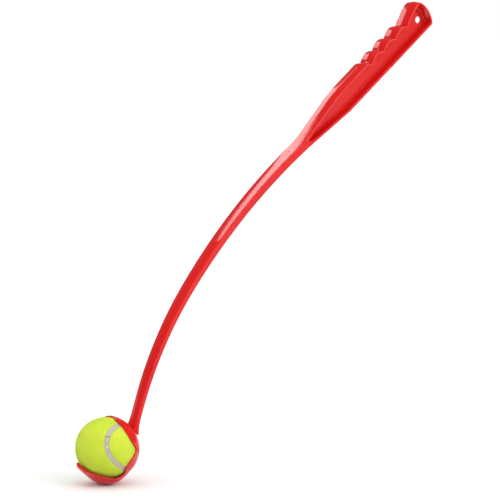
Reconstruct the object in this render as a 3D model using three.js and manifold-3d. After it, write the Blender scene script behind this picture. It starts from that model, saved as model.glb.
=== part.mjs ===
// Ball launcher for dogs: a one-piece moulded wand with a finger-grooved I-section handle,
// a tapering curved shaft and a clawed cup, and the felt-covered ball that snaps into the cup.
// Millimetres, +Z up. The wand lies in the XZ plane, its thickness runs along Y, and the
// origin is the middle of the grip.

import * as THREE from "three";
import { mergeVertices } from "three/addons/utils/BufferGeometryUtils.js";
import Module from "manifold-3d";

const wasm = await Module();
wasm.setup();

const radians = THREE.MathUtils.degToRad;
const mix = THREE.MathUtils.lerp;
const smooth = THREE.MathUtils.smoothstep;

// Clearance between pieces that touch on the real object, and one overrun for all cuts
const seat_gap = 0.3;
const cut_overrun = 2;

// Handle: s runs along its straight back edge from the kink at the taper, n towards the fingers
const handle_tilt_deg = 40.7;
const grip_reach = 85;
const grip_height = 12.4;
const handle_thickness = 23.5;
const arris_round = 1.1;
const parting_ridge = 0.9;

// Finger side of the handle
const front_height = 24.9;
const front_kink_reach = 3;
const front_kink_blend = 9;
const shoulder_reach = 46.5;
const groove_reach = 54.5;
const groove_pitch = 20.6;
const groove_count = 3;
const groove_floor_height = 20.9;
const finger_rise = 4.2;
const end_top_run = 30.9;
const end_heel_run = 28.8;
const end_top_height = 30.6;
const end_bulge = 3.9;
const end_top_round = 4.2;
const end_heel_round = 2.6;
const last_groove_reach = groove_reach + groove_count * groove_pitch;
const end_top_reach = last_groove_reach + end_top_run;
const handle_length = last_groove_reach + end_heel_run;

// Weight-saving pockets, one on each side, with the web between them and the hanging hole
const web_thickness = 2.4;
const rim_width = 2.6;
const pocket_corner_round = 1;
const pocket_fillet = 2.1;
const pocket_fillet_height = 2.6;
const pocket_nose_reach = 62;
const pocket_nose_blend = 16;
const hang_hole_diameter = 7.6;
const hang_hole_setback = 7.3;
const hang_hole_height = 11.7;
const hang_hole_reach = handle_length - hang_hole_setback;

// Relief through the far rim beside the hanging hole, which leaves a straight way out of it
const relief_width = 10;
const relief_floor_height = 3;

// Shaft: two arcs and a short straight tail into the cup
const shaft_start_reach = 65.3;
const shaft_start_height = 10.7;
const shaft_start_heading_deg = 37.35;
const upper_arc_radius = 694;
const upper_arc_turn_deg = 17.1;
const lower_arc_radius = 424;
const lower_arc_turn_deg = 17.7;
const tail_length = 33;
const shaft_width_top = 9.2;
const shaft_width_bottom = 5;
const shaft_thickness_top = 21.7;
const shaft_thickness_bottom = 15.2;
const foot_flare = 1.7;
const foot_flare_length = 9;

// Ball: felt over a hollow rubber core, with the seam cement between the two felt panels
const ball_diameter = 63.5;
const felt_thickness = 3.2;
const core_wall = 3.3;
const seam_width = 4.9;
const seam_sink = 0.5;
const seam_wave_share = 0.1353;
const seam_turn_x_deg = 47.61;
const seam_turn_y_deg = -71.32;
const seam_turn_z_deg = 107.46;

// Cup: its mouth faces up and away from the handle; angles are measured from the mouth's axis
const cup_drop = 54.43;
const cup_offset = 24.9;
const cup_mouth_deg = 151.3;
const cup_wall = 2.1;
const cup_wall_back = 3;
const cup_lip_wall = 1.1;
const upper_claw_lift = 1;
const lower_claw_lift = 1.9;
const lower_claw_bulge = 2;
const lower_claw_tip_lift = 3.2;

// Half of the cup's rim, from the middle of the upper claw round one side to the lower claw:
// the angle round the mouth's axis, then the angle down from that axis
const rim_angles_deg = [
  [0, 75], [10, 74.2], [19, 72.6], [25, 74], [32, 79], [46, 87.8], [56.5, 100], [62.5, 113],
  [67, 129.5], [76, 127.5], [86, 124.5], [99, 120], [111, 119.5], [120, 123.5], [126, 128],
  [131, 128.5], [136, 119.5], [141, 108], [144.5, 97], [147.5, 88], [153, 78.5], [162, 69],
  [172, 58], [180, 48.2],
];

// Smoothness of the curved forms
const arc_steps = 12;
const tail_steps = 6;
const finger_steps = 9;
const end_steps = 8;
const corner_steps = 4;
const rim_steps = 38;
const cup_rows = 12;
const hole_sides = 36;
const seam_steps = 64;
const felt_rows = 10;
const core_sides = 36;
const core_rows = 6;

// Derived ball sizes
const ball_radius = ball_diameter / 2;
const felt_inner_radius = ball_radius - felt_thickness;
const core_radius = felt_inner_radius - seat_gap;
const cup_inner_radius = ball_radius + seat_gap;

const shellMaterial = new THREE.MeshStandardMaterial({ color: 0xe22e2c, roughness: 0.28, metalness: 0 });
const feltMaterial = new THREE.MeshStandardMaterial({ color: 0xcde132, roughness: 0.95, metalness: 0 });
const seamMaterial = new THREE.MeshStandardMaterial({ color: 0xc3b9af, roughness: 0.6, metalness: 0 });
const coreMaterial = new THREE.MeshStandardMaterial({ color: 0x55524c, roughness: 0.85, metalness: 0 });

// A closed skin from points and triangles, turned to face out
function closedSkin(points, triangles) {
  let volume = 0;
  for (const [i, j, k] of triangles) {
    volume += points[i].dot(new THREE.Vector3().crossVectors(points[j], points[k]));
  }
  const index = triangles.flatMap(([i, j, k]) => (volume > 0 ? [i, j, k] : [i, k, j]));
  const geometry = new THREE.BufferGeometry();
  geometry.setAttribute("position", new THREE.Float32BufferAttribute(points.flatMap((p) => p.toArray()), 3));
  geometry.setIndex(index);
  return geometry;
}

// Bands of triangles between equal rings of points; a ring of one point closes the skin there
function bandTriangles(rings, closeLoop) {
  const triangles = [];
  let start = 0;
  for (let r = 0; r + 1 < rings.length; r += 1) {
    const near = rings[r].length;
    const far = rings[r + 1].length;
    const count = Math.max(near, far);
    const next = start + near;
    for (let i = 0; i < count; i += 1) {
      const j = (i + 1) % count;
      if (near > 1) triangles.push([start + i, start + j, next + (far > 1 ? j : 0)]);
      if (far > 1) triangles.push([start + (near > 1 ? i : 0), next + j, next + i]);
    }
    start = next;
  }
  if (closeLoop) {
    const count = rings[0].length;
    for (let i = 0; i < count; i += 1) {
      const j = (i + 1) % count;
      triangles.push([start + i, start + j, j], [start + i, j, i]);
    }
  }
  return triangles;
}

// A solid skinned over rings, closed by a point at each end or back onto its first ring
function skinOverRings(rings, closeLoop = false) {
  return closedSkin(rings.flat(), bandTriangles(rings, closeLoop));
}

// A solid stacked along Y from outlines in the XZ plane, with flat ends
function stackOutlines(rings) {
  const triangles = bandTriangles(rings, false);
  const flat = (ring) => ring.map((p) => new THREE.Vector2(p.x, p.z));
  const first = THREE.ShapeUtils.triangulateShape(flat(rings[0]), []);
  const last = THREE.ShapeUtils.triangulateShape(flat(rings.at(-1)), []);
  const lastStart = rings.slice(0, -1).flat().length;
  const upwind = THREE.ShapeUtils.isClockWise(flat(rings[0])) ? -1 : 1;
  for (const [i, j, k] of first) {
    triangles.push(upwind > 0 ? [i, k, j] : [i, j, k]);
  }
  for (const [i, j, k] of last) {
    triangles.push(upwind > 0 ? [i, j, k].map((v) => v + lastStart) : [i, k, j].map((v) => v + lastStart));
  }
  return closedSkin(rings.flat(), triangles);
}

function toSolid(geometry) {
  const bare = geometry.clone();
  bare.deleteAttribute("normal");
  bare.deleteAttribute("uv");
  const merged = mergeVertices(bare);
  return new wasm.Manifold(new wasm.Mesh({
    numProp: 3,
    vertProperties: new Float32Array(merged.attributes.position.array),
    triVerts: new Uint32Array(merged.index.array),
  }));
}

function toGeometry(solid) {
  const mesh = solid.getMesh();
  const geometry = new THREE.BufferGeometry();
  geometry.setAttribute("position", new THREE.BufferAttribute(mesh.vertProperties, 3));
  geometry.setIndex(new THREE.BufferAttribute(mesh.triVerts, 1));
  geometry.computeVertexNormals();
  return geometry;
}

// Directions in the wand's plane: along a line that falls at the given angle towards the cup,
// and square to it, on the finger side
function downTo(heading) {
  return new THREE.Vector2(-Math.cos(heading), -Math.sin(heading));
}

function fingerSide(heading) {
  return new THREE.Vector2(-Math.sin(heading), Math.cos(heading));
}

// A place on the handle, given along and above its back edge, in the wand's plane
function onHandle(reach, height) {
  const tilt = radians(handle_tilt_deg);
  return new THREE.Vector2()
    .addScaledVector(downTo(tilt), grip_reach - reach)
    .addScaledVector(fingerSide(tilt), height - grip_height);
}

// Share of the finger bump's rise at each share of the pitch: a long rise, a round crown
// and a steeper fall towards the handle's end
const finger_rise_shares = [
  [0, 0], [0.12, 0.34], [0.24, 0.62], [0.36, 0.85], [0.47, 0.97],
  [0.57, 1], [0.68, 0.93], [0.8, 0.72], [0.9, 0.41], [1, 0],
];

function stepThrough(shares, place) {
  let i = 1;
  while (i < shares.length - 1 && shares[i][0] < place) {
    i += 1;
  }
  const [from, low] = shares[i - 1];
  const [to, high] = shares[i];
  return mix(low, high, (place - from) / (to - from));
}

// Share of the way up from the last groove to the handle's top corner
const end_rise_shares = [
  [0, 0], [0.16, 0.27], [0.3, 0.42], [0.43, 0.605], [0.6, 0.835], [0.82, 0.98], [1, 1],
];

const shaft_front_height = shaft_start_height + shaft_width_top / 2;
const shaft_back_height = shaft_start_height - shaft_width_top / 2;

// Height of the handle's finger side over its back edge
function frontHeight(reach) {
  if (reach < front_kink_reach) {
    const run = (front_kink_reach - reach) / (front_kink_reach + shaft_start_reach);
    return mix(front_height, shaft_front_height, run);
  }
  if (reach < shoulder_reach) {
    return front_height;
  }
  if (reach < groove_reach) {
    const fall = (reach - shoulder_reach) / (groove_reach - shoulder_reach);
    return mix(front_height, groove_floor_height, fall * fall);
  }
  if (reach < last_groove_reach) {
    const place = ((reach - groove_reach) / groove_pitch) % 1;
    return groove_floor_height + finger_rise * stepThrough(finger_rise_shares, place);
  }
  const place = (reach - last_groove_reach) / (end_top_reach - last_groove_reach);
  return mix(groove_floor_height, end_top_height, stepThrough(end_rise_shares, Math.min(place, 1)));
}

// Height of the back edge, which rises towards the shaft's middle below the kink
function backHeight(reach) {
  return reach < 0 ? (shaft_back_height * -reach) / shaft_start_reach : 0;
}

// Reach of the handle's bulged end at a height over its back edge
function endReach(height) {
  const share = height / end_top_height;
  return mix(handle_length, end_top_reach, share) + end_bulge * 4 * share * (1 - share);
}

// Places along the finger side where the outline needs a point
function frontReaches(from) {
  const reaches = [from];
  reaches.push(front_kink_reach - front_kink_blend, front_kink_reach + front_kink_blend, shoulder_reach);
  for (let i = 1; i <= corner_steps; i += 1) {
    reaches.push(mix(shoulder_reach, groove_reach, i / (corner_steps + 1)));
  }
  for (let groove = 0; groove < groove_count; groove += 1) {
    for (const [place] of finger_rise_shares.slice(0, finger_steps)) {
      reaches.push(groove_reach + (groove + place) * groove_pitch);
    }
  }
  for (const [place] of end_rise_shares.slice(0, -1)) {
    reaches.push(mix(last_groove_reach, end_top_reach, place));
  }
  return reaches;
}

// The handle's outline inside its rim by an inset, from the finger side of the taper round
// the end to the back of the taper; corners are eased by their rounds
function handleEdge(inset, from) {
  const front = frontReaches(from)
    .filter((reach) => reach < end_top_reach - end_top_round - inset)
    .map((reach) => new THREE.Vector2(reach, frontHeight(reach) - inset));
  const end = [];
  for (let i = 0; i <= end_steps; i += 1) {
    const height = mix(end_top_height - inset, inset, i / end_steps);
    end.push(new THREE.Vector2(endReach(height) - inset, height));
  }
  const top = end[0];
  const heel = end.at(-1);
  const pocketRound = (round) => (inset > 0 ? Math.max(round - inset, pocket_corner_round) : round);
  const beforeTop = front.at(-1);
  const beforeHeel = end.at(-2);
  const back = [new THREE.Vector2(0, inset), new THREE.Vector2(from, backHeight(from) + inset)];
  return [
    ...front,
    ...easedCorner(beforeTop, top, end[2], pocketRound(end_top_round)),
    ...end.slice(2, -2),
    ...easedCorner(beforeHeel, heel, back[0], pocketRound(end_heel_round)),
    ...back,
  ];
}

// A corner drawn as a curve that starts and ends one round away from it
function easedCorner(before, corner, after, round) {
  const start = before.clone().sub(corner).setLength(round).add(corner);
  const finish = after.clone().sub(corner).setLength(round).add(corner);
  return new THREE.QuadraticBezierCurve(start, corner, finish).getPoints(corner_steps);
}

// Stations down the shaft's middle line: place, heading, half width and half thickness
function shaftStations() {
  const stations = [];
  const upperLength = upper_arc_radius * radians(upper_arc_turn_deg);
  const lowerLength = lower_arc_radius * radians(lower_arc_turn_deg);
  const whole = upperLength + lowerLength;
  const station = (place, heading, run) => ({
    place,
    heading,
    halfWidth: mix(shaft_width_top, shaft_width_bottom, Math.min(run, 1)) / 2,
    halfThickness: mix(shaft_thickness_top, shaft_thickness_bottom, Math.min(run, 1)) / 2,
  });
  const arc = (start, heading, radius, turn, runStart, runEnd) => {
    const middle = start.clone().addScaledVector(fingerSide(heading), -radius);
    for (let i = 1; i <= arc_steps; i += 1) {
      const now = heading + (turn * i) / arc_steps;
      const place = middle.clone().addScaledVector(fingerSide(now), radius);
      stations.push(station(place, now, mix(runStart, runEnd, i / arc_steps)));
    }
  };
  const firstHeading = radians(shaft_start_heading_deg);
  const midHeading = firstHeading + radians(upper_arc_turn_deg);
  const lastHeading = midHeading + radians(lower_arc_turn_deg);
  const start = onHandle(-shaft_start_reach, shaft_start_height);
  stations.push(station(start, firstHeading, 0));
  arc(start, firstHeading, upper_arc_radius, radians(upper_arc_turn_deg), 0, upperLength / whole);
  arc(stations.at(-1).place, midHeading, lower_arc_radius, radians(lower_arc_turn_deg), upperLength / whole, 1);
  const end = stations.at(-1).place;
  for (let i = 1; i <= tail_steps; i += 1) {
    const run = (tail_length * i) / tail_steps;
    const place = end.clone().addScaledVector(downTo(lastHeading), run);
    const flare = foot_flare * Math.max(0, 1 - (tail_length - run) / (foot_flare_length * 2)) ** 2;
    const foot = station(place, lastHeading, 1);
    foot.halfWidth += flare;
    foot.halfThickness += flare;
    stations.push(foot);
  }
  return stations;
}

const stations = shaftStations();
const shaftEnd = stations[arc_steps * 2];
const ballCentre = shaftEnd.place.clone()
  .addScaledVector(downTo(shaftEnd.heading), cup_drop)
  .addScaledVector(fingerSide(shaftEnd.heading), cup_offset);

// The whole outline of handle and shaft, each point with its half thickness
function wandOutline() {
  const side = (sign) => stations.map((s) => ({
    point: s.place.clone().addScaledVector(fingerSide(s.heading), sign * s.halfWidth),
    halfThickness: s.halfThickness,
  }));
  const handle = handleEdge(0, -shaft_start_reach).map((p) => ({
    point: onHandle(p.x, p.y),
    halfThickness: handle_thickness / 2,
  }));
  return [...side(1).reverse(), ...handle.slice(1, -1), ...side(-1)];
}

// Unit normals that point out of an outline
function outlineNormals(points) {
  const turn = THREE.ShapeUtils.isClockWise(points) ? 1 : -1;
  return points.map((point, i) => {
    const before = points.at(i - 1);
    const after = points[(i + 1) % points.length];
    const into = point.clone().sub(before).normalize();
    const out = after.clone().sub(point).normalize();
    const along = into.add(out).normalize();
    const stretch = 1 / Math.max(Math.sqrt((1 + along.dot(out)) / 2), Math.SQRT1_2);
    return new THREE.Vector2(-along.y, along.x).multiplyScalar(turn * stretch);
  });
}

// Handle and shaft: flat sides, eased arrises and edges that fall from the parting line
function wandBlank() {
  const outline = wandOutline();
  const normals = outlineNormals(outline.map((o) => o.point));
  const ring = (offset, side, drop) => outline.map(({ point, halfThickness }, i) => {
    const place = point.clone().addScaledVector(normals[i], offset);
    return new THREE.Vector3(place.x, side * (halfThickness - drop), place.y);
  });
  const middle = outline.map(({ point }, i) => {
    const place = point.clone().addScaledVector(normals[i], parting_ridge);
    return new THREE.Vector3(place.x, 0, place.y);
  });
  const eased = arris_round * (1 - Math.SQRT1_2);
  return toSolid(stackOutlines([
    ring(-arris_round, -1, 0),
    ring(-eased, -1, eased),
    ring(0, -1, arris_round),
    middle,
    ring(0, 1, arris_round),
    ring(-eased, 1, eased),
    ring(-arris_round, 1, 0),
  ]));
}

// One pocket: it follows the rim all round and draws in to the web with a fillet
function pocketCutter(side) {
  const nose = (inset) => {
    const reach = inset - pocket_nose_reach;
    const from = reach + pocket_nose_blend;
    const edge = handleEdge(rim_width + inset, from);
    const tip = new THREE.Vector2(reach, (frontHeight(reach) + backHeight(reach)) / 2);
    const lip = (share, height) => new THREE.Vector2(mix(reach, from, share), mix(tip.y, height, share ** 0.62));
    const front = edge[0].y;
    const back = edge.at(-1).y;
    return [lip(0.12, front), lip(0.4, front), lip(0.7, front), ...edge, lip(0.7, back), lip(0.4, back),
      lip(0.12, back)];
  };
  const ring = (inset, height) => nose(inset).map((p) => {
    const place = onHandle(p.x, p.y);
    return new THREE.Vector3(place.x, side * height, place.y);
  });
  const floor = web_thickness / 2;
  const mouth = handle_thickness / 2;
  const eased = 1 - Math.SQRT1_2;
  return toSolid(stackOutlines([
    ring(0, mouth + cut_overrun),
    ring(0, mouth - arris_round),
    ring(pocket_fillet / 3, floor + pocket_fillet_height),
    ring(pocket_fillet * (1 / 3 + (2 * eased) / 3), floor + pocket_fillet_height * eased),
    ring(pocket_fillet, floor),
  ]));
}

function hangHoleCutter() {
  const radius = hang_hole_diameter / 2;
  const geometry = new THREE.CylinderGeometry(radius, radius, handle_thickness, hole_sides);
  const place = onHandle(hang_hole_reach, hang_hole_height);
  return toSolid(geometry.translate(place.x, 0, place.y));
}

// A half-round channel in the far pocket, out through the rim at the handle's end
function reliefCutter() {
  const radius = relief_width / 2;
  const reach = handle_length;
  const hole = onHandle(hang_hole_reach, hang_hole_height);
  const round = new THREE.CylinderGeometry(radius, radius, reach, hole_sides).rotateZ(Math.PI / 2);
  const depth = handle_thickness / 2 - relief_floor_height;
  const open = new THREE.BoxGeometry(reach, depth, relief_width);
  const middle = relief_floor_height + radius;
  return toSolid(round.translate(hole.x + reach / 2, middle, hole.y))
    .add(toSolid(open.translate(hole.x + reach / 2, middle + depth / 2, hole.y)));
}

// Cup: how far its inside stands off the ball, and its wall, at a place given by the angle
// round the mouth's axis and the angle down from it
function cupLift(round, down) {
  const lower = smooth(round, 110, 150);
  const claw = lower_claw_lift * (1 - smooth(down, 120, 155));
  const bulge = lower_claw_bulge * smooth(down, 84, 108) * (1 - smooth(down, 112, 140));
  const tip = lower_claw_tip_lift * (1 - smooth(down, 50, 80));
  const upper = upper_claw_lift * (1 - smooth(round, 20, 50)) * (1 - smooth(down, 70, 120));
  return lower * (claw + bulge + tip) + upper;
}

function cupWall(down) {
  return mix(cup_wall, cup_wall_back, smooth(down, 105, 140));
}

// The cup's shell, skinned along meridians from the back pole out to the clawed rim and
// back along the inside
function cupShell() {
  const half = new THREE.SplineCurve(rim_angles_deg.map(([round, down]) => new THREE.Vector2(round, down)))
    .getSpacedPoints(rim_steps);
  const other = half.slice(1, -1).reverse().map((p) => new THREE.Vector2(-p.x, p.y));
  const rim = [...half, ...other];
  const mouth = radians(cup_mouth_deg);
  const axis = new THREE.Vector3(Math.cos(mouth), 0, Math.sin(mouth));
  const towardShaft = new THREE.Vector3(Math.sin(mouth), 0, -Math.cos(mouth));
  const side = new THREE.Vector3(0, -1, 0);
  const place = (round, down, radius) => {
    const out = new THREE.Vector3()
      .addScaledVector(towardShaft, Math.cos(radians(round)))
      .addScaledVector(side, Math.sin(radians(round)));
    return new THREE.Vector3(ballCentre.x, 0, ballCentre.y)
      .addScaledVector(axis, radius * Math.cos(radians(down)))
      .addScaledVector(out, radius * Math.sin(radians(down)));
  };
  const ring = (share, wallShare) => rim.map(({ x: round, y: edge }) => {
    const down = mix(180, edge, share);
    const lip = cup_lip_wall / cupWall(edge);
    const thin = mix(1, lip, smooth(share, 0.55, 1));
    const wall = cupWall(down) * thin * wallShare;
    return place(round, down, cup_inner_radius + cupLift(Math.abs(round), down) + wall);
  });
  const back = (wallShare) => [place(0, 180, cup_inner_radius + cupWall(180) * wallShare)];
  const outside = [];
  const inside = [];
  for (let i = 1; i < cup_rows; i += 1) {
    outside.push(ring(i / cup_rows, 1));
    inside.unshift(ring(i / cup_rows, 0));
  }
  const lipEase = 1 - 1 / (cup_rows * 6);
  return toSolid(skinOverRings([
    back(1), ...outside, ring(lipEase, 1), ring(1, 0.68), ring(1, 0.32), ring(lipEase, 0), ...inside, back(0),
  ]));
}

// Room for the ball, cut from the shaft's foot
function ballSpace() {
  const sphere = new THREE.SphereGeometry(cup_inner_radius + cup_wall / 2, core_sides, core_sides / 2);
  return toSolid(sphere.translate(ballCentre.x, 0, ballCentre.y));
}

function buildWand() {
  const bare = wandBlank()
    .subtract(pocketCutter(-1))
    .subtract(pocketCutter(1))
    .subtract(hangHoleCutter())
    .subtract(reliefCutter())
    .subtract(ballSpace());
  return new THREE.Mesh(toGeometry(bare.add(cupShell())), shellMaterial);
}

// The ball's seam on a unit sphere, and the direction square to it, towards the +Z panel
function seamFrame(angle) {
  const around = 1 - seam_wave_share;
  const wave = seam_wave_share;
  const tall = 2 * Math.sqrt(around * wave);
  const place = new THREE.Vector3(
    around * Math.cos(angle) + wave * Math.cos(3 * angle),
    around * Math.sin(angle) - wave * Math.sin(3 * angle),
    tall * Math.sin(2 * angle),
  );
  const along = new THREE.Vector3(
    -around * Math.sin(angle) - 3 * wave * Math.sin(3 * angle),
    around * Math.cos(angle) - 3 * wave * Math.cos(3 * angle),
    2 * tall * Math.cos(2 * angle),
  );
  const toPanel = new THREE.Vector3().crossVectors(place, along).normalize();
  return { place, toPanel };
}

// A point beside the seam, a distance from its middle measured on the ball's surface
function besideSeam(angle, distance, radius) {
  const { place, toPanel } = seamFrame(angle);
  const turn = distance / ball_radius;
  return place.multiplyScalar(Math.cos(turn)).addScaledVector(toPanel, Math.sin(turn)).multiplyScalar(radius);
}

function seamAngles() {
  return Array.from({ length: seam_steps }, (_, i) => (Math.PI * 2 * i) / seam_steps);
}

// One dog-bone felt panel, skinned from its middle out to the seam on both faces
function feltPanel() {
  const middle = new THREE.Vector3(0, 0, 1);
  const margin = seam_width / 2 + seat_gap;
  const ring = (share, radius) => seamAngles().map((angle) => {
    const edge = besideSeam(angle, margin, 1);
    const span = middle.angleTo(edge);
    const from = Math.sin((1 - share) * span) / Math.sin(span);
    const to = Math.sin(share * span) / Math.sin(span);
    return middle.clone().multiplyScalar(from).addScaledVector(edge, to).setLength(radius);
  });
  const outside = [];
  const inside = [];
  for (let i = 1; i <= felt_rows; i += 1) {
    outside.push(ring(i / felt_rows, ball_radius));
    inside.unshift(ring(i / felt_rows, felt_inner_radius));
  }
  const crown = [middle.clone().setLength(ball_radius)];
  const underside = [middle.clone().setLength(felt_inner_radius)];
  return skinOverRings([crown, ...outside, ...inside, underside]);
}

// The seam's cement: a flat bead that fills the channel between the panels
function seamBead() {
  const half = seam_width / 2;
  const crest = ball_radius - seam_sink;
  const rings = seamAngles().map((angle) => [
    besideSeam(angle, -half, felt_inner_radius),
    besideSeam(angle, half, felt_inner_radius),
    besideSeam(angle, half, crest - seam_sink / 2),
    besideSeam(angle, 0, crest),
    besideSeam(angle, -half, crest - seam_sink / 2),
  ]);
  return skinOverRings(rings, true);
}

// Half of the hollow rubber core: a bowl that meets its twin at the equator
function coreHalf() {
  const inner = core_radius - core_wall;
  const rim = seat_gap / 2;
  const profile = [];
  for (let i = 0; i <= core_rows; i += 1) {
    const angle = mix(0, Math.acos(rim / core_radius), i / core_rows);
    profile.push(new THREE.Vector2(core_radius * Math.sin(angle), core_radius * Math.cos(angle)));
  }
  for (let i = core_rows; i >= 0; i -= 1) {
    const angle = mix(0, Math.acos(rim / inner), i / core_rows);
    profile.push(new THREE.Vector2(inner * Math.sin(angle), inner * Math.cos(angle)));
  }
  profile[0].x = 0;
  profile.at(-1).x = 0;
  return new THREE.LatheGeometry(profile.reverse(), core_sides).rotateX(Math.PI / 2);
}

function named(mesh, name) {
  mesh.name = name;
  return mesh;
}

// The ball, turned so that its seam lies as it does in the cup
function buildBall() {
  const ball = new THREE.Group();
  const otherWay = Math.PI;
  ball.add(named(new THREE.Mesh(coreHalf(), coreMaterial), "core_half_a"));
  ball.add(named(new THREE.Mesh(coreHalf().rotateX(otherWay), coreMaterial), "core_half_b"));
  ball.add(named(new THREE.Mesh(feltPanel(), feltMaterial), "felt_panel_a"));
  ball.add(named(new THREE.Mesh(feltPanel().rotateX(otherWay), feltMaterial), "felt_panel_b"));
  ball.add(named(new THREE.Mesh(seamBead(), seamMaterial), "seam_bead"));
  ball.position.set(ballCentre.x, 0, ballCentre.y);
  ball.rotation.set(radians(seam_turn_x_deg), radians(seam_turn_y_deg), radians(seam_turn_z_deg), "XYZ");
  return ball;
}

const launcher = new THREE.Group();
launcher.add(named(buildWand(), "launcher_wand"));
launcher.add(buildBall());

export default launcher;
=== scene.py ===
import math
import random

import bmesh
import bpy
from mathutils import Matrix, Quaternion, Vector
from mathutils.bvhtree import BVHTree


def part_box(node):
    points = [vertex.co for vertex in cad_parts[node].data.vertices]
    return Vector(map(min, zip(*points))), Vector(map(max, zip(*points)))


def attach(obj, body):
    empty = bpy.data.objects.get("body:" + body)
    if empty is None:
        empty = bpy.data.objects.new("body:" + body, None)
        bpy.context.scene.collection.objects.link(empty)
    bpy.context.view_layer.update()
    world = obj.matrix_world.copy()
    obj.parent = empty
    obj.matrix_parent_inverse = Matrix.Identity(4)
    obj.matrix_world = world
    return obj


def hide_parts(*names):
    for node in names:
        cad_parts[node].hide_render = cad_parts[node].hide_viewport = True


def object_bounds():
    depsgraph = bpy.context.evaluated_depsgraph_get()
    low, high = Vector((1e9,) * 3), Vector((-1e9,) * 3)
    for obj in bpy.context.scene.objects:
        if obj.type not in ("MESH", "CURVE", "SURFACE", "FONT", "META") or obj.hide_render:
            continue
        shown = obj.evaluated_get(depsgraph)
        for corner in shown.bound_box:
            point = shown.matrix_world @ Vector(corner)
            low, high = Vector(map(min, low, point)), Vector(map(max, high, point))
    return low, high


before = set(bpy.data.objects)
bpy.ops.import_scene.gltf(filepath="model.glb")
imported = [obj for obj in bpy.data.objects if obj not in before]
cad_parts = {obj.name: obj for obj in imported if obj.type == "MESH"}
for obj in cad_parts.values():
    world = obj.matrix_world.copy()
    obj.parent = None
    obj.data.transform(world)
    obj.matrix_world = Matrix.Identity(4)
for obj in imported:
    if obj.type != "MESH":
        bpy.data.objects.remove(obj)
cad_low, cad_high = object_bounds()


# The launcher's wand: handle, shaft and clawed cup, injection moulded in one shot from red
# polypropylene. The halves of the mould meet in a fine ridge along the middle of every edge.
# Where that ridge runs up the handle's finger side, a painted highlight turns its crest pale,
# for the light line it catches there. The cup's two claws spring in onto the ball.
weld_distance = 0.00001
crease_angle = math.radians(28)
face_area_weight = 80
parting_line_reach = 0.0002
parting_crest = 0.00045
parting_turn = (math.radians(3), math.radians(30))
cup_mouth_deg = 151.3
claw_reach = 0.045
inner_to_outer_skin = (-0.8, 0.8)
lower_claw_round_deg = 120
lower_claw_down_deg = (52, 84)
lower_claw_spring = 0.0028
lower_claw_bend = 0.00075
upper_claw_round_deg = (20, 50)
upper_claw_down_deg = (70, 120)
upper_claw_spring = 0.0009
eased_skin_faces_out = 0.6
eased_down_deg = (86, 136)
eased_round_deg = (118, 160)
easing = 0.5
plastic_red = (0.70, 0.012, 0.010, 1)
plastic_deep_red = (0.67, 0.009, 0.009, 1)
plastic_roughness = (0.07, 0.1)
plastic_ior = 1.49
plastic_gloss = 0.34
# Painted highlight: a pale line on the parting ridge's crest, around this spot on the handle.
ridge_highlight_place = (-0.0526, 0, -0.0277)
ridge_highlight_reach = 0.0175
ridge_highlight_red = (0.86, 0.24, 0.19, 1)


def merged_copy(node_name, piece_name):
    """A copy of a CAD node's mesh with its loose triangles merged, as a new piece"""
    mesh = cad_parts[node_name].data.copy()
    mesh.name = piece_name
    mesh.materials.clear()
    skin = bmesh.new()
    skin.from_mesh(mesh)
    bmesh.ops.remove_doubles(skin, verts=skin.verts, dist=weld_distance)
    bmesh.ops.dissolve_degenerate(skin, edges=skin.edges, dist=weld_distance)
    skin.to_mesh(mesh)
    skin.free()
    piece = bpy.data.objects.new(piece_name, mesh)
    bpy.context.scene.collection.objects.link(piece)
    return piece


def round_edges(skin, edges, size, segments):
    """The edges rolled over by the size, as a mould or a cutter leaves them"""
    bmesh.ops.bevel(
        skin, geom=edges, offset=size, offset_type="OFFSET", affect="EDGES",
        segments=segments, profile=0.5, material=-1, clamp_overlap=True,
    )


def shade_smooth(piece, angle):
    """Smooth shading with creases where the skin turns by more than the angle"""
    skin = bmesh.new()
    skin.from_mesh(piece.data)
    for face in skin.faces:
        face.smooth = True
    for edge in skin.edges:
        edge.smooth = len(edge.link_faces) == 2 and edge.calc_face_angle(0) < angle
    skin.to_mesh(piece.data)
    skin.free()


def new_material(name):
    """A material, its nodes, its links, its shader and the place on the piece that it reads"""
    material = bpy.data.materials.new(name)
    material.use_nodes = True
    nodes = material.node_tree.nodes
    shader = nodes["Principled BSDF"]
    place = nodes.new("ShaderNodeTexCoord").outputs["Object"]
    return material, nodes, material.node_tree.links, shader, place


def noise_at(nodes, links, place, scale, detail=2.0, roughness=0.5, distortion=0.0):
    noise = nodes.new("ShaderNodeTexNoise")
    noise.inputs["Scale"].default_value = scale
    noise.inputs["Detail"].default_value = detail
    noise.inputs["Roughness"].default_value = roughness
    noise.inputs["Distortion"].default_value = distortion
    links.new(place, noise.inputs["Vector"])
    return noise.outputs["Fac"]


def ramp_between(nodes, links, value, low, high, colour_low, colour_high):
    ramp = nodes.new("ShaderNodeValToRGB")
    ramp.color_ramp.elements[0].position = low
    ramp.color_ramp.elements[0].color = colour_low
    ramp.color_ramp.elements[1].position = high
    ramp.color_ramp.elements[1].color = colour_high
    links.new(value, ramp.inputs["Fac"])
    return ramp.outputs["Color"]


def spread(nodes, links, value, low, high, out_low, out_high):
    spreader = nodes.new("ShaderNodeMapRange")
    spreader.inputs["From Min"].default_value = low
    spreader.inputs["From Max"].default_value = high
    spreader.inputs["To Min"].default_value = out_low
    spreader.inputs["To Max"].default_value = out_high
    links.new(value, spreader.inputs["Value"])
    return spreader.outputs["Result"]


def fading(nodes, links, distance, near, far):
    """One up to the near distance, and down to zero at the far one"""
    return spread(nodes, links, distance, near, far, out_low=1, out_high=0)


def away_from(nodes, links, place, middle):
    distance = nodes.new("ShaderNodeVectorMath")
    distance.operation = "DISTANCE"
    links.new(place, distance.inputs[0])
    distance.inputs[1].default_value = middle
    return distance.outputs["Value"]


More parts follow.
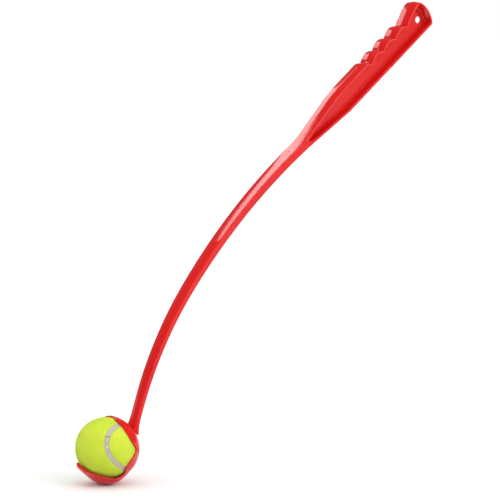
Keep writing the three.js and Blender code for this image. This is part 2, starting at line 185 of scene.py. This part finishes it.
def mixed(nodes, links, share, below, above):
    """The colour above laid over what comes from below, by its share"""
    blend = nodes.new("ShaderNodeMix")
    blend.data_type = "RGBA"
    links.new(share, blend.inputs["Factor"])
    links.new(below, blend.inputs["A"])
    blend.inputs["B"].default_value = above
    return blend.outputs["Result"]


def maths(nodes, links, operation, first, second=None):
    step = nodes.new("ShaderNodeMath")
    step.operation = operation
    links.new(first, step.inputs[0])
    if second is not None:
        links.new(second, step.inputs[1])
    return step.outputs[0]


def bump_by(nodes, links, shader, height, depth, strength):
    bump = nodes.new("ShaderNodeBump")
    bump.inputs["Distance"].default_value = depth
    bump.inputs["Strength"].default_value = strength
    links.new(height, bump.inputs["Height"])
    links.new(bump.outputs["Normal"], shader.inputs["Normal"])


def smooth_step(value, low, high):
    share = min(max((value - low) / (high - low), 0), 1)
    return share * share * (3 - 2 * share)


# The claws close on the point halfway between the two panels' middles, which lies a little over
# a millimetre from the ball's own middle.
panel_a_low, panel_a_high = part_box("felt_panel_a")
panel_b_low, panel_b_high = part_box("felt_panel_b")
grip_low = panel_a_low.lerp(panel_b_low, 0.5)
grip_high = panel_a_high.lerp(panel_b_high, 0.5)
grip_middle = (grip_low + grip_high) / 2
cup_mouth = math.radians(cup_mouth_deg)
mouth_axis = Vector((math.cos(cup_mouth), 0, math.sin(cup_mouth)))
toward_shaft = Vector((math.sin(cup_mouth), 0, -math.cos(cup_mouth)))


def cup_angles(from_grip):
    """The angle down from the mouth's axis, and the angle round it from the shaft's side"""
    across = from_grip - mouth_axis * from_grip.dot(mouth_axis)
    down = from_grip.angle(mouth_axis)
    return math.degrees(down), math.degrees(across.angle(toward_shaft, 0))


def close_claws(skin):
    """The claws' inner faces come down onto the felt, and the lower claw bends with them"""
    skin.normal_update()
    moves = []
    for vertex in skin.verts:
        from_grip = vertex.co - grip_middle
        if from_grip.length > claw_reach:
            continue
        down, around = cup_angles(from_grip)
        outer = smooth_step(vertex.normal.dot(from_grip.normalized()), *inner_to_outer_skin)
        if around > lower_claw_round_deg:
            share = 1 - smooth_step(down, *lower_claw_down_deg)
            inward = lower_claw_spring * (1 - outer) + lower_claw_bend * outer
        else:
            beside_shaft = 1 - smooth_step(around, *upper_claw_round_deg)
            share = beside_shaft * (1 - smooth_step(down, *upper_claw_down_deg))
            inward = upper_claw_spring * (1 - outer)
        moves.append((vertex, -from_grip.normalized() * inward * share))
    for vertex, move in moves:
        vertex.co += move
    skin.normal_update()
    return {vertex for vertex, move in moves}


def relay_facets(skin, moved):
    """The triangles of the skin that moved are laid again across it, with its creases kept"""
    bmesh.ops.beautify_fill(
        skin,
        faces=[face for face in skin.faces if moved.issuperset(face.verts)],
        edges=[
            edge for edge in skin.edges
            if moved.issuperset(edge.verts) and edge.calc_face_angle(0) < crease_angle
        ],
        method="ANGLE",
    )
    skin.normal_update()


def ease_folded_skin(skin, moved):
    """One light round of smoothing where the cup's lower outer skin folds under the ball"""
    outside = {
        vertex for vertex in moved
        if all(
            face.normal.dot((vertex.co - grip_middle).normalized()) > eased_skin_faces_out
            for face in vertex.link_faces
        )
    }
    eased = []
    for vertex in sorted(outside, key=lambda vertex: vertex.index):
        down, around = cup_angles(vertex.co - grip_middle)
        if (
            eased_down_deg[0] < down < eased_down_deg[1]
            and eased_round_deg[0] < around < eased_round_deg[1]
            and all(edge.other_vert(vertex) in outside for edge in vertex.link_edges)
        ):
            eased.append(vertex)
    bmesh.ops.smooth_vert(
        skin, verts=eased, factor=easing, use_axis_x=True, use_axis_y=True, use_axis_z=True,
    )


wand = merged_copy("launcher_wand", "wand_moulding")
skin = bmesh.new()
skin.from_mesh(wand.data)
moved = close_claws(skin)
relay_facets(skin, moved)
ease_folded_skin(skin, moved)
parting_line = [
    edge for edge in skin.edges
    if all(abs(end.co.y) < parting_line_reach for end in edge.verts)
    and edge.calc_length() > parting_crest
    and parting_turn[0] < edge.calc_face_angle(0) < parting_turn[1]
]
round_edges(skin, parting_line, parting_crest, segments=2)
skin.to_mesh(wand.data)
skin.free()
shade_smooth(wand, crease_angle)
even = wand.modifiers.new("even_shading", "WEIGHTED_NORMAL")
even.weight = face_area_weight
even.keep_sharp = True

plastic, nodes, links, shader, place = new_material("red_polypropylene")
cloud = noise_at(nodes, links, place, scale=14, detail=3)
clouded = ramp_between(
    nodes, links, cloud, low=0.35, high=0.65, colour_low=plastic_deep_red,
    colour_high=plastic_red,
)
sides = nodes.new("ShaderNodeSeparateXYZ")
links.new(place, sides.inputs["Vector"])
off_ridge = maths(nodes, links, "ABSOLUTE", sides.outputs["Y"])
# Painted highlight: the ridge's crest is coloured pale near the given spot, as the light line it
# catches.
off_ridge_highlight = away_from(nodes, links, place, ridge_highlight_place)
ridge_highlight = maths(
    nodes, links, "MULTIPLY",
    fading(nodes, links, off_ridge, near=parting_crest * 0.9, far=parting_crest * 1.3),
    fading(nodes, links, off_ridge_highlight, near=ridge_highlight_reach * 0.9, far=ridge_highlight_reach),
)
links.new(mixed(nodes, links, ridge_highlight, clouded, ridge_highlight_red), shader.inputs["Base Color"])
wear = noise_at(nodes, links, place, scale=60, detail=4)
smooth, worn = plastic_roughness
links.new(
    spread(nodes, links, wear, low=0.3, high=0.7, out_low=smooth, out_high=worn),
    shader.inputs["Roughness"],
)
shader.inputs["IOR"].default_value = plastic_ior
shader.inputs["Specular IOR Level"].default_value = plastic_gloss
grain = noise_at(nodes, links, place, scale=1400, detail=3, roughness=0.6)
bump_by(nodes, links, shader, grain, depth=0.00002, strength=0.05)
wand.data.materials.append(plastic)

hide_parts("launcher_wand")
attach(wand, "launcher")


# The ball's core: two half shells of dark natural rubber, moulded and then glued edge to edge
# into a hollow sphere. It is sealed in by the felt.
core_grey = (0.085, 0.08, 0.072, 1)
core_dark = (0.05, 0.047, 0.043, 1)
core_roughness = 0.85

rubber, nodes, links, shader, place = new_material("core_rubber")
cloud = noise_at(nodes, links, place, scale=90, detail=4)
links.new(
    ramp_between(
        nodes, links, cloud, low=0.35, high=0.7, colour_low=core_dark, colour_high=core_grey,
    ),
    shader.inputs["Base Color"],
)
shader.inputs["Roughness"].default_value = core_roughness
grain = noise_at(nodes, links, place, scale=900, detail=3)
bump_by(nodes, links, shader, grain, depth=0.00005, strength=0.4)
for half in ("core_half_a", "core_half_b"):
    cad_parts[half].data.materials.clear()
    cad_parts[half].data.materials.append(rubber)


# The ball's cover: two dog-bone panels of needle felt, wool and nylon dyed optic yellow, glued
# over the core. Their cut edges roll down into the seam, and a short nap of loose fibres lies
# over them in every direction.
felt_yellow = (0.77, 0.87, 0.09, 1)
felt_green = (0.67, 0.82, 0.055, 1)
felt_roughness = 0.95
felt_gloss = 0.15
felt_sheen = 0.25
felt_sheen_roughness = 0.5
felt_sheen_tint = (0.85, 1.0, 0.45, 1)
felt_roll = 0.0007
cut_edge_turn = math.radians(50)
felt_crease = math.radians(60)
fibre_sides = 3
fibre_length = 0.0019
fibre_length_share = (0.6, 1.1)
fibre_radius = 0.000045
fibre_tip_radius = 0.000015
fibre_lean = (math.radians(66), math.radians(84))
tuft_fibres = 60
tuft_reach = 0.0031
tuft_count = 760
golden_share = 3 - math.sqrt(5)
fibre_margin = 0.0005
chance = random.Random(11)

felt, nodes, links, shader, place = new_material("optic_yellow_felt")
mottle = noise_at(nodes, links, place, scale=55, detail=5, roughness=0.6, distortion=0.4)
links.new(
    ramp_between(
        nodes, links, mottle, low=0.3, high=0.7, colour_low=felt_green, colour_high=felt_yellow,
    ),
    shader.inputs["Base Color"],
)
shader.inputs["Roughness"].default_value = felt_roughness
shader.inputs["Specular IOR Level"].default_value = felt_gloss
shader.inputs["Sheen Weight"].default_value = felt_sheen
shader.inputs["Sheen Roughness"].default_value = felt_sheen_roughness
shader.inputs["Sheen Tint"].default_value = felt_sheen_tint
matting = noise_at(nodes, links, place, scale=700, detail=6, roughness=0.7, distortion=0.8)
bump_by(nodes, links, shader, matting, depth=0.0004, strength=0.35)

panel_low = [min(panel_a_low[i], panel_b_low[i]) for i in range(3)]
panel_high = [max(panel_a_high[i], panel_b_high[i]) for i in range(3)]
ball_middle = (Vector(panel_low) + Vector(panel_high)) / 2
ball_radius = (panel_high[1] - panel_low[1]) / 2

tuft = bmesh.new()
for _ in range(tuft_fibres):
    reach = tuft_reach * math.sqrt(chance.random())
    heading = chance.uniform(0, math.tau)
    length = fibre_length * chance.uniform(*fibre_length_share)
    root = Matrix.Rotation(heading, 4, "Z") @ Matrix.Rotation(reach / ball_radius, 4, "Y")
    lean = Matrix.Rotation(chance.uniform(0, math.tau), 4, "Z") @ Matrix.Rotation(
        chance.uniform(*fibre_lean), 4, "Y"
    )
    leaning = root @ Matrix.Translation((0, 0, ball_radius)) @ lean
    bmesh.ops.create_cone(
        tuft, cap_ends=False, segments=fibre_sides, radius1=fibre_radius,
        radius2=fibre_tip_radius, depth=length,
        matrix=leaning @ Matrix.Translation((0, 0, length / 2)),
    )
for face in tuft.faces:
    face.smooth = True
tuft_mesh = bpy.data.meshes.new("nap_tuft")
tuft.to_mesh(tuft_mesh)
tuft.free()


def needle_nap(panel):
    """Tufts set evenly round the whole ball, less the fibres whose root is off this panel"""
    nap = bmesh.new()
    for i in range(tuft_count):
        height = 1 - 2 * (i + 0.5) / tuft_count
        ring = math.sqrt(1 - height * height)
        turn = i * math.pi * golden_share
        spot = Vector((ring * math.cos(turn), ring * math.sin(turn), height))
        *_, off_panel = panel.find_nearest(ball_middle + spot * ball_radius)
        if off_panel > tuft_reach:
            continue
        face_out = spot.to_track_quat("Z", "Y").to_matrix().to_4x4()
        spin = Matrix.Rotation(chance.uniform(0, math.tau), 4, "Z")
        placed = tuft_mesh.copy()
        placed.transform(Matrix.Translation(ball_middle) @ face_out @ spin)
        nap.from_mesh(placed)
        bpy.data.meshes.remove(placed)
    points = list(nap.verts)
    stray = []
    for first in range(0, len(points), 2 * fibre_sides):
        fibre = points[first:first + 2 * fibre_sides]
        root = sum((vertex.co for vertex in fibre[0::2]), Vector()) / fibre_sides
        *_, off_panel = panel.find_nearest(root)
        if off_panel > fibre_margin:
            stray.extend(fibre)
    bmesh.ops.delete(nap, geom=stray, context="VERTS")
    return nap


for letter in ("a", "b"):
    cover = merged_copy("felt_panel_" + letter, "felt_cover_" + letter)
    skin = bmesh.new()
    skin.from_mesh(cover.data)
    cut_edges = [edge for edge in skin.edges if edge.calc_face_angle(0) > cut_edge_turn]
    round_edges(skin, cut_edges, felt_roll, segments=3)
    skin.to_mesh(cover.data)
    shade_smooth(cover, felt_crease)
    panel = BVHTree.FromBMesh(skin)
    skin.free()

    nap = needle_nap(panel)
    nap.from_mesh(cover.data)
    nap.to_mesh(cover.data)
    nap.free()
    cover.data.materials.append(felt)
    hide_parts("felt_panel_" + letter)
    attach(cover, "ball")
bpy.data.meshes.remove(tuft_mesh)


# The ball's seam: a bead of grey rubber cement, dipped onto the panels' cut edges and vulcanised
# in the channel between them. A fine dark joint shows where the dipped edges meet end to end,
# and a little further along the bead a tiny white spot is a painted glint on the cement.
seam_grey = (0.54, 0.485, 0.41, 1)
seam_shade = (0.48, 0.43, 0.36, 1)
seam_roughness = 0.6
seam_crease = math.radians(50)
seam_swell = 0.00032
seam_joint_dark = (0.16, 0.13, 0.10, 1)
seam_joint_place = (-0.367151, -0.023822, -0.391468)
seam_joint_along = (-0.187, -0.330, -0.925)
seam_joint_reach = 0.006
seam_joint_width = 0.00055
# Painted glint: a tiny white spot on the bead, where light glances off the cement.
seam_glint_white = (0.95, 0.94, 0.92, 1)
seam_glint_place = (-0.369244, -0.027524, -0.401846)
seam_glint_reach = 0.0007

cement, nodes, links, shader, place = new_material("seam_cement")
offset = nodes.new("ShaderNodeVectorMath")
offset.operation = "SUBTRACT"
links.new(place, offset.inputs[0])
offset.inputs[1].default_value = seam_joint_place
along = nodes.new("ShaderNodeVectorMath")
along.operation = "DOT_PRODUCT"
links.new(offset.outputs["Vector"], along.inputs[0])
along.inputs[1].default_value = seam_joint_along
past_joint = maths(nodes, links, "ABSOLUTE", along.outputs["Value"])
off_joint = away_from(nodes, links, place, seam_joint_place)
joint = maths(
    nodes, links, "MULTIPLY",
    fading(nodes, links, past_joint, near=seam_joint_width * 0.5, far=seam_joint_width),
    fading(nodes, links, off_joint, near=seam_joint_reach * 0.8, far=seam_joint_reach),
)
# Painted glint: the bead turns white within a fraction of a millimetre of this spot.
off_glint = away_from(nodes, links, place, seam_glint_place)
glint = fading(nodes, links, off_glint, near=seam_glint_reach * 0.5, far=seam_glint_reach)
cloud = noise_at(nodes, links, place, scale=160, detail=4)
clouded = ramp_between(
    nodes, links, cloud, low=0.35, high=0.65, colour_low=seam_shade, colour_high=seam_grey,
)
joined = mixed(nodes, links, joint, clouded, seam_joint_dark)
glinted = mixed(nodes, links, glint, joined, seam_glint_white)
links.new(glinted, shader.inputs["Base Color"])
shader.inputs["Roughness"].default_value = seam_roughness
grain = noise_at(nodes, links, place, scale=600, detail=4)
bump_by(nodes, links, shader, grain, depth=0.0001, strength=0.4)

bead = merged_copy("seam_bead", "seam_cement_bead")
shade_smooth(bead, seam_crease)
swell = bead.modifiers.new("fills_channel", "DISPLACE")
swell.mid_level = 0
swell.strength = seam_swell
bead.data.materials.append(cement)
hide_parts("seam_bead")
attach(bead, "ball")


# The studio: a white floor that runs out to a white surround. The camera and reflections see
# both as plain white, and the room as dark higher up, which keeps the plastic's colour deep.
# The floor keeps the soft shadow under the ball.
floor_half = 12.0
floor_bounce_dim = (0.67, 0.67, 0.67, 1)
floor_bounce_pale = (0.69, 0.69, 0.69, 1)
floor_seen_dim = (0.86, 0.86, 0.86, 1)
floor_seen_pale = (0.87, 0.87, 0.87, 1)
floor_lift = 0.32
lift_from, lift_to = 0.4, 4.0
horizon_light = 0.8
zenith_light = 1.25
zenith_height = 0.9
dark_ceiling = 0.16
dark_from, dark_to = 0.02, 0.1
plain_white = (1, 1, 1, 1)

floor_mesh = bpy.data.meshes.new("studio_floor")
skin = bmesh.new()
bmesh.ops.create_grid(
    skin, x_segments=1, y_segments=1, size=floor_half,
    matrix=Matrix.Translation((0, 0, cad_low.z)),
)
skin.to_mesh(floor_mesh)
skin.free()
floor = bpy.data.objects.new("studio_floor", floor_mesh)
bpy.context.scene.collection.objects.link(floor)


def sees_white(nodes, links):
    """One for rays from the camera and for reflections, and zero for the light on the object"""
    path = nodes.new("ShaderNodeLightPath")
    seen = path.outputs["Is Camera Ray"]
    for other in ("Is Glossy Ray", "Is Transmission Ray"):
        seen = maths(nodes, links, "MAXIMUM", seen, path.outputs[other])
    return seen


paper, nodes, links, shader, place = new_material("white_paper")
shader.inputs["Roughness"].default_value = 1
shader.inputs["Specular IOR Level"].default_value = 0
seen = sees_white(nodes, links)
cloud = noise_at(nodes, links, place, scale=30)
pale = nodes.new("ShaderNodeMix")
pale.data_type = "RGBA"
links.new(seen, pale.inputs["Factor"])
for side, dim, bright in (
    ("A", floor_bounce_dim, floor_bounce_pale),
    ("B", floor_seen_dim, floor_seen_pale),
):
    paper_white = ramp_between(
        nodes, links, cloud, low=0.3, high=0.7, colour_low=dim, colour_high=bright,
    )
    links.new(paper_white, pale.inputs[side])
links.new(pale.outputs["Result"], shader.inputs["Base Color"])
run_out = away_from(nodes, links, place, (0, 0, 0))
lift = spread(nodes, links, run_out, lift_from, lift_to, out_low=0, out_high=floor_lift)
shader.inputs["Emission Color"].default_value = plain_white
links.new(maths(nodes, links, "MULTIPLY", lift, seen), shader.inputs["Emission Strength"])
floor_mesh.materials.append(paper)

world = bpy.data.worlds.new("studio")
bpy.context.scene.world = world
world.use_nodes = True
nodes, links = world.node_tree.nodes, world.node_tree.links
toward = nodes.new("ShaderNodeSeparateXYZ")
links.new(nodes.new("ShaderNodeTexCoord").outputs["Generated"], toward.inputs["Vector"])
upward = toward.outputs["Z"]
soft = nodes["Background"]
soft.inputs["Color"].default_value = plain_white
links.new(
    spread(
        nodes, links, upward, low=0, high=zenith_height, out_low=horizon_light,
        out_high=zenith_light,
    ),
    soft.inputs["Strength"],
)
white = nodes.new("ShaderNodeBackground")
white.inputs["Color"].default_value = plain_white
links.new(
    spread(nodes, links, upward, dark_from, dark_to, out_low=1, out_high=dark_ceiling),
    white.inputs["Strength"],
)
choose = nodes.new("ShaderNodeMixShader")
links.new(sees_white(nodes, links), choose.inputs["Fac"])
links.new(soft.outputs["Background"], choose.inputs[1])
links.new(white.outputs["Background"], choose.inputs[2])
links.new(choose.outputs["Shader"], nodes["World Output"].inputs["Surface"])


# The lamps: a large soft key in front of the wand's near side, a little to its right, and two
# strips behind the wand that only reflections show: one lies along the handle's taper, the
# other along the upper shaft.
key_aim = (-0.15, 0, -0.15)
strip_aim = (-0.1, 0, -0.1)


def softbox(name, aim, azimuth_deg, height_deg, distance, width, tall, radiance, roll_deg=0):
    """An area lamp turned to its aim, with azimuth 0 behind that, along +Y, and 90 along +X"""
    azimuth, height = math.radians(azimuth_deg), math.radians(height_deg)
    away = Vector((
        math.sin(azimuth) * math.cos(height),
        math.cos(azimuth) * math.cos(height),
        math.sin(height),
    ))
    lamp = bpy.data.lights.new(name, "AREA")
    lamp.shape = "RECTANGLE"
    lamp.size, lamp.size_y = width, tall
    lamp.energy = radiance * math.pi * width * tall
    holder = bpy.data.objects.new(name, lamp)
    holder.location = Vector(aim) + away * distance
    roll = Quaternion((0, 0, 1), math.radians(roll_deg))
    holder.rotation_euler = (away.to_track_quat("Z", "Y") @ roll).to_euler()
    bpy.context.scene.collection.objects.link(holder)
    return holder


softbox(
    "key", key_aim, azimuth_deg=160, height_deg=26, distance=2.4, width=1.8, tall=1.4,
    radiance=2.5,
)
over_taper = softbox(
    "strip_over_taper", strip_aim, azimuth_deg=-0.6, height_deg=29.8, distance=0.89,
    width=0.29, tall=0.183, radiance=2.7, roll_deg=8,
)
over_shaft = softbox(
    "strip_over_shaft", strip_aim, azimuth_deg=-25.9, height_deg=35.2, distance=0.338,
    width=0.281, tall=0.025, radiance=5.6, roll_deg=-35.6,
)
for strip in (over_taper, over_shaft):
    strip.visible_camera = False
    strip.visible_diffuse = False


# The camera: the photograph's angle, low in front of the ball's side and about two and a half
# metres away, with a long lens.
camera_place = Vector((-1.5342, -2.1695, 0.0582))
camera_right = Vector((0.84805, -0.52992, 0.0))
camera_up = Vector((0.05539, 0.08865, 0.99453))
camera_back = Vector((-0.52702, -0.84340, 0.10453))
focal_share = 2399.2 / 500
sensor_mm = 36
view_depth = 100

lens = bpy.data.cameras.new("photo_camera")
lens.sensor_width = sensor_mm
lens.lens = focal_share * sensor_mm
lens.clip_end = view_depth
camera = bpy.data.objects.new("photo_camera", lens)
camera.matrix_world = Matrix.Translation(camera_place) @ Matrix(
    (camera_right, camera_up, camera_back)
).transposed().to_4x4()
bpy.context.scene.collection.objects.link(camera)
bpy.context.scene.camera = camera
bpy.context.scene.view_settings.view_transform = "Standard"
